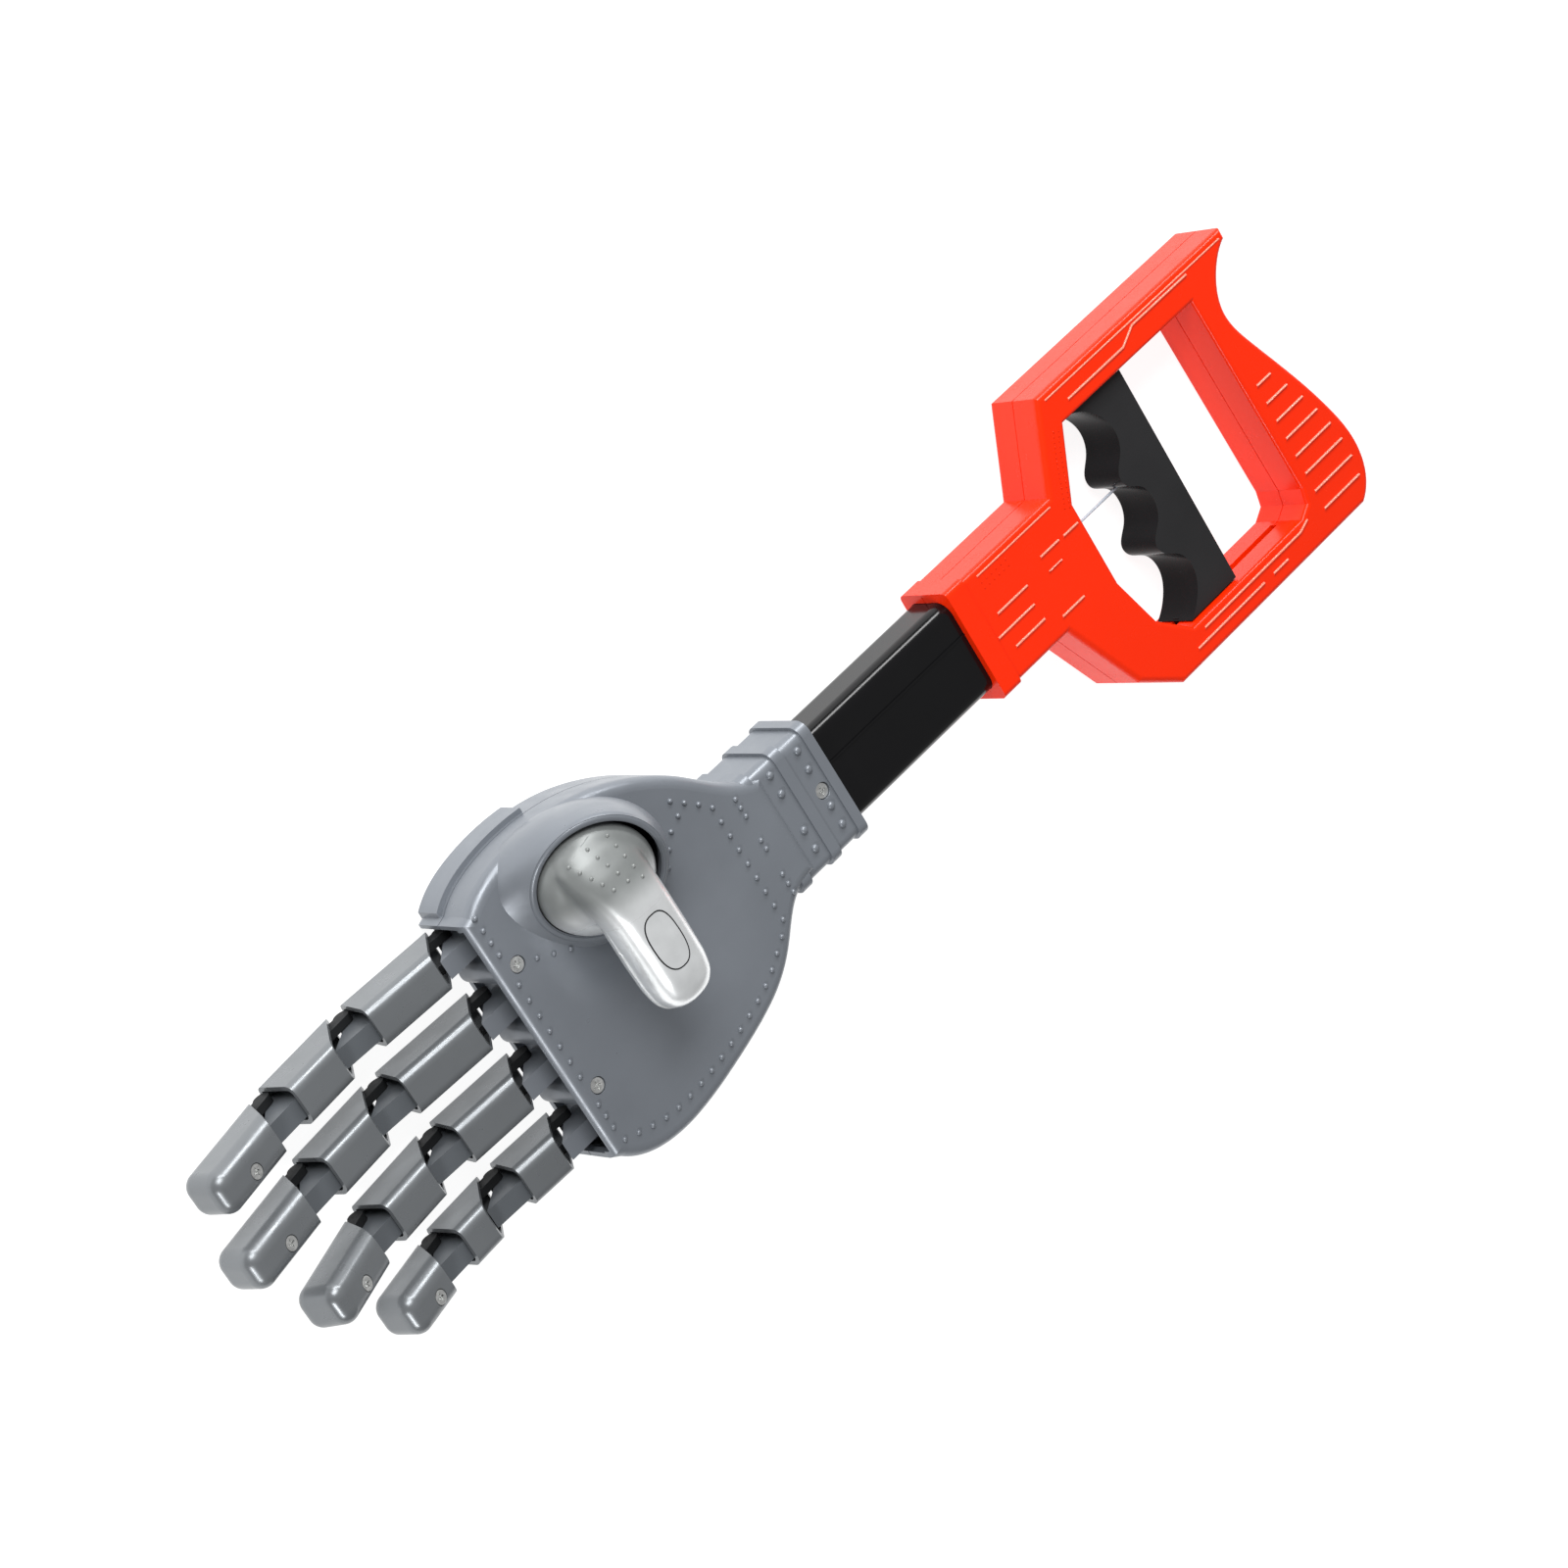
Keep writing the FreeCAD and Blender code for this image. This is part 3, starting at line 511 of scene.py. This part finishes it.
edge_dots = spaced(catmull(plane_line(SLANTED_EDGE, 0.0), 8), DOT_PITCH)
for column in (0.0, 1.7):
    for point in edge_dots:
        handle_dot(point.x + column, point.y - column * 0.45)
for row in range(3):
    for k in range(6):
        handle_dot(-74.5 - 2.1 * k, -14.2 + 1.9 * row)
piece_from(tiny_bumps, "handle_bumps", "orange_plastic", "frame")

# ---------------------------------------------------------------- lip of the thumb socket
RING_SIDE, RING_OTHER = frame_on(THUMB_RING_AXIS)


def ring_point(radius, height, turn):
    """A point of the socket's own round frame, in drawing millimetres."""
    out = (RING_SIDE * math.cos(turn) + RING_OTHER * math.sin(turn)) * radius
    return THUMB_RING_CENTRE + out + THUMB_RING_AXIS * height


# the lip's profile: how far out of the ring, and how high above it
LIP_SECTION = (
    (0.12, -1.6), (0.1, -0.3), (0.35, 0.25), (0.95, 0.42), (1.55, 0.2), (1.88, -0.35), (1.9, -1.6),
)
LIP_SIDES = 96
lip = bmesh.new()
rings = []
for i in range(LIP_SIDES):
    turn = 2 * math.pi * i / LIP_SIDES
    rings.append([lip.verts.new(at(*ring_point(THUMB_RING_RADIUS + r, h, turn))) for r, h in LIP_SECTION])
for i in range(LIP_SIDES):
    one = rings[i]
    two = rings[(i + 1) % LIP_SIDES]
    for k in range(len(LIP_SECTION)):
        j = (k + 1) % len(LIP_SECTION)
        lip.faces.new((one[k], one[j], two[j], two[k]))
piece_from(lip, "thumb_socket_lip", "hand_plastic", "frame")

# ---------------------------------------------------------------- thumb
THUMB_VOXEL = 0.45
THUMB_SMOOTHING = 48
THUMB_SEAM_Z = 41.2
# how far below the ring the thumb ends, inside the socket
THUMB_CUT = 5.0
# the back half stands this much proud of the front one: not at all at the first of these positions along
# the thumb, and fully from the second on
BACK_STEP = 0.45
BACK_STEP_FROM = -24.0
BACK_STEP_TO = -10.0
# the heel's balls: centre, radius, and how flat along the ring's axis
THUMB_BALLS = (((80.1, -31.9, 33.2), 16.3, 0.50), ((80.4, -31.6, 35.0), 13.0, 0.62))
# stations along the thumb: y, half width, half height, height of the axis
THUMB_BAR = (
    (-46.0, 5.6, 2.6, 36.2), (-44.8, 8.8, 4.6, 36.6), (-41.0, 11.0, 6.6, 37.6), (-36.0, 11.0, 7.8, 39.2),
    (-30.0, 10.2, 8.4, 41.0), (-24.0, 9.7, 8.7, 42.2), (-12.0, 9.5, 8.8, 42.4), (-3.0, 9.3, 8.5, 42.4),
    (1.4, 8.6, 7.6, 42.4), (4.2, 7.0, 6.0, 42.4), (5.7, 4.6, 3.9, 42.4), (6.2, 2.2, 1.8, 42.4),
)
THUMB_AXIS_X = 80.4
OVAL_POWER = 0.86


def add_ball(mesh_tool, centre, radius, squash_axis, squash):
    """A ball flattened along one axis."""
    made = bmesh.ops.create_icosphere(mesh_tool, subdivisions=4, radius=radius * MM)
    for vertex in made["verts"]:
        along = vertex.co.dot(squash_axis)
        vertex.co += squash_axis * (along * (squash - 1.0)) + at(*centre)


def add_bar(mesh_tool, stations, sides=40):
    """A closed bar along +Y through oval stations, a little squarer than an ellipse."""
    rings = []
    for y, wide, high, level in stations:
        ring = []
        for i in range(sides):
            turn = 2 * math.pi * i / sides
            c, s = math.cos(turn), math.sin(turn)
            u = math.copysign(abs(c) ** OVAL_POWER, c) * wide
            v = math.copysign(abs(s) ** OVAL_POWER, s) * high
            ring.append(mesh_tool.verts.new(at(THUMB_AXIS_X + u, y, level + v)))
        rings.append(ring)
    for one, two in zip(rings, rings[1:]):
        for i in range(sides):
            j = (i + 1) % sides
            mesh_tool.faces.new((one[i], one[j], two[j], two[i]))
    mesh_tool.faces.new(list(reversed(rings[0])))
    mesh_tool.faces.new(rings[-1])


def blended(mesh_tool, name, voxel, smoothing):
    """The union of overlapping closed forms as one skin with soft transitions."""
    bmesh.ops.recalc_face_normals(mesh_tool, faces=mesh_tool.faces)
    mesh = bpy.data.meshes.new(name)
    mesh_tool.to_mesh(mesh)
    mesh_tool.free()
    holder = bpy.data.objects.new(name, mesh)
    bpy.context.scene.collection.objects.link(holder)
    remesh = holder.modifiers.new("skin", "REMESH")
    remesh.mode = "VOXEL"
    remesh.voxel_size = voxel * MM
    relax = holder.modifiers.new("relax", "SMOOTH")
    relax.factor = 0.5
    relax.iterations = smoothing
    evaluated = holder.evaluated_get(bpy.context.evaluated_depsgraph_get())
    skin = bpy.data.meshes.new_from_object(evaluated)
    bpy.data.objects.remove(holder)
    return skin


forms = bmesh.new()
for centre, radius, squash in THUMB_BALLS:
    add_ball(forms, centre, radius, THUMB_RING_AXIS, squash)
add_bar(forms, THUMB_BAR)
thumb_skin = blended(forms, "thumb_skin", THUMB_VOXEL, THUMB_SMOOTHING)


def thumb_half(name, front):
    """One moulded half: the front one above the seam, the back one below it and a little proud of it."""
    half = bmesh.new()
    half.from_mesh(thumb_skin)
    seam = at(0, 0, THUMB_SEAM_Z)
    foot = at(*(THUMB_RING_CENTRE - THUMB_RING_AXIS * THUMB_CUT))
    for origin, normal, keep_above in ((seam, UP, front), (foot, THUMB_RING_AXIS, True)):
        whole = half.verts[:] + half.edges[:] + half.faces[:]
        cut = bmesh.ops.bisect_plane(half, geom=whole, plane_co=origin, plane_no=normal,
                                     clear_inner=keep_above, clear_outer=not keep_above)
        rim = [e for e in cut["geom_cut"] if isinstance(e, bmesh.types.BMEdge)]
        bmesh.ops.holes_fill(half, edges=rim, sides=0)
    half.normal_update()
    if not front:
        for vertex in half.verts:
            past = (vertex.co.y - at(0, BACK_STEP_FROM, 0).y) / ((BACK_STEP_TO - BACK_STEP_FROM) * MM)
            out = Vector((vertex.normal.x, vertex.normal.y, 0.0))
            vertex.co += out * (BACK_STEP * MM * min(max(past, 0.0), 1.0))
    slot = "thumb_silver" if front else "thumb_grey"
    return piece_from(half, name, slot, "thumb", math.radians(45), look="thumb_silver")


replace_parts(thumb_half("thumb_front_skin", True), "thumb_front")
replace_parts(thumb_half("thumb_back_skin", False), "thumb_back")

skin_tool = bmesh.new()
skin_tool.from_mesh(thumb_skin)
skin_tree = BVHTree.FromBMesh(skin_tool)
# the rivets' places are dropped on the thumb along this slanted line, from points at this height
DROP_DIRECTION = Vector((-0.46, 0.36, -0.81)).normalized()
DROP_HEIGHT = 45.0
# metres
DROP_RUN_UP = 0.05


def on_thumb(x, y, z, direction):
    """Where a line through a drawing point meets the thumb, and the skin's direction there."""
    start = at(x, y, z) - direction * DROP_RUN_UP
    place, normal = skin_tree.ray_cast(start, direction)[:2]
    return place, normal


# both ends of each row of rivets on the heel
THUMB_RIVET_ROWS = (
    ((76.9, -43.6), (74.5, -28.8)),
    ((83.8, -44.4), (78.6, -30.6)),
    ((91.0, -44.4), (83.4, -31.4)),
)
THUMB_RIVETS_PER_ROW = 5
THUMB_RIVET_RADIUS = 0.58
THUMB_RIVET_HEIGHT = 0.5
thumb_rivets = bmesh.new()
for first, last in THUMB_RIVET_ROWS:
    for k in range(THUMB_RIVETS_PER_ROW):
        share = k / (THUMB_RIVETS_PER_ROW - 1)
        x = first[0] + (last[0] - first[0]) * share
        y = first[1] + (last[1] - first[1]) * share
        place, normal = on_thumb(x, y, DROP_HEIGHT, DROP_DIRECTION)
        if place is not None:
            add_dome(thumb_rivets, place, normal, THUMB_RIVET_RADIUS, THUMB_RIVET_HEIGHT, sides=10)
piece_from(thumb_rivets, "thumb_rivets", "thumb_grey", "thumb")

# the nail's outline: a thin bead in painted shadow, standing in for the shade in its groove
NAIL_CENTRE = (81.4, -13.8)
NAIL_HALF = (4.5, 8.2)
NAIL_POWER = 0.75
NAIL_STEPS = 40
NAIL_WIDTH = 0.40
NAIL_HEIGHT = 0.12
nail_points = []
nail_normals = []
for k in range(NAIL_STEPS):
    turn = 2 * math.pi * k / NAIL_STEPS
    c, s = math.cos(turn), math.sin(turn)
    x = NAIL_CENTRE[0] + math.copysign(abs(c) ** NAIL_POWER, c) * NAIL_HALF[0]
    y = NAIL_CENTRE[1] - math.copysign(abs(s) ** NAIL_POWER, s) * NAIL_HALF[1]
    place, normal = on_thumb(x, y, DROP_HEIGHT, -UP)
    nail_points.append(place)
    nail_normals.append(normal)
nail = bmesh.new()
add_bead(nail, nail_points + nail_points[:1], nail_normals + nail_normals[:1], NAIL_WIDTH, NAIL_HEIGHT)
piece_from(nail, "thumb_nail_line", "thumb_grey", "thumb", look="shadow")
skin_tool.free()

# ---------------------------------------------------------------- stage, light, camera
FLOOR_REACH = 6.0
# metres below the part, so that the two never share a plane
FLOOR_DROP = 0.0005
stage_mesh = bmesh.new()
SQUARE = ((-1, -1), (1, -1), (1, 1), (-1, 1))
stage_mesh.faces.new([stage_mesh.verts.new((x * FLOOR_REACH, y * FLOOR_REACH, 0.0)) for x, y in SQUARE])
floor_mesh = bpy.data.meshes.new("floor")
stage_mesh.to_mesh(floor_mesh)
stage_mesh.free()
floor = bpy.data.objects.new("floor", floor_mesh)
bpy.context.scene.collection.objects.link(floor)
floor.location.z = -FLOOR_DROP
floor_shader = new_material("floor_paper")[0]["Principled BSDF"]
floor_shader.inputs["Roughness"].default_value = 1.0
floor_shader.inputs["Specular IOR Level"].default_value = 0.0
floor_shader.inputs["Base Color"].default_value = (0.34, 0.34, 0.34, 1.0)
floor_shader.inputs["Emission Color"].default_value = (1.0, 1.0, 1.0, 1.0)
floor_shader.inputs["Emission Strength"].default_value = 0.90
paint(floor, "floor_paper")

world = bpy.data.worlds.new("studio")
bpy.context.scene.world = world
world.use_nodes = True
background = world.node_tree.nodes["Background"]
background.inputs["Color"].default_value = (1.0, 1.0, 1.0, 1.0)
background.inputs["Strength"].default_value = 0.30


def softbox(name, place, width, height, watts):
    """A soft light in the form of a rectangle that faces the middle of the part."""
    data = bpy.data.lights.new(name, "AREA")
    data.shape = "RECTANGLE"
    data.size = width
    data.size_y = height
    data.energy = watts
    lamp = bpy.data.objects.new(name, data)
    lamp.location = place
    lamp.rotation_mode = "QUATERNION"
    lamp.rotation_quaternion = (-Vector(place)).to_track_quat("-Z", "Y")
    bpy.context.scene.collection.objects.link(lamp)


softbox("key", (0.15, -1.0, 0.9), 0.9, 0.5, 15.0)
softbox("strip", (-0.56, -1.0, 0.45), 1.0, 0.22, 11.0)
softbox("end", (1.0, 0.45, 0.6), 0.5, 0.1, 5.0)

# the camera's place in drawing millimetres, and the directions behind it and to its right
CAMERA_PLACE = (556.4, -439.3, 976.5)
CAMERA_BACK = Vector((0.461, -0.364, 0.809)).normalized()
CAMERA_RIGHT = Vector((-0.642, 0.493, 0.587))
camera_data = bpy.data.cameras.new("camera")
camera_data.lens = 102.375
camera_data.sensor_width = 36.0
camera_data.clip_start = 0.05
camera_data.clip_end = 30.0
camera = bpy.data.objects.new("camera", camera_data)
bpy.context.scene.collection.objects.link(camera)
right = (CAMERA_RIGHT - CAMERA_BACK * CAMERA_RIGHT.dot(CAMERA_BACK)).normalized()
turned = Matrix((right, CAMERA_BACK.cross(right), CAMERA_BACK)).transposed()
camera.matrix_world = Matrix.Translation(at(*CAMERA_PLACE)) @ turned.to_4x4()
bpy.context.scene.camera = camera
bpy.context.scene.view_settings.view_transform = "Standard"
